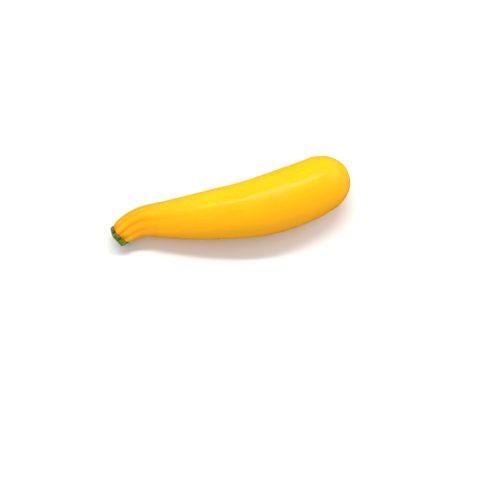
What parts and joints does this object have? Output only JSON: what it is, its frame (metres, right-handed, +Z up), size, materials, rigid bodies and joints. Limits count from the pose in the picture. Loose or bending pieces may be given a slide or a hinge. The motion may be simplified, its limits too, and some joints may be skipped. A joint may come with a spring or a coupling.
{
  "type": "yellow zucchini",
  "caption": "Whole yellow zucchini lying on its side: a gently bent, softly ridged fruit with a slim neck, a short cut slice of green stalk and a blunt blossom end.",
  "frame": {"origin": "On the surface that the zucchini lies on, under the middle of its bounding box.", "axes": "+X runs along the fruit from the stem end to the blossom end, +Y is the side towards which both ends of the body bend, +Z is up."},
  "size_m": [0.2018, 0.0576, 0.0503],
  "materials": {
    "skin": "smooth waxy golden-yellow skin",
    "stalk": "ribbed fibrous green stalk, cut across"
  },
  "bodies": {
    "root": {"fruit": "skin", "stem": "stalk"}
  },
  "joints": []
}
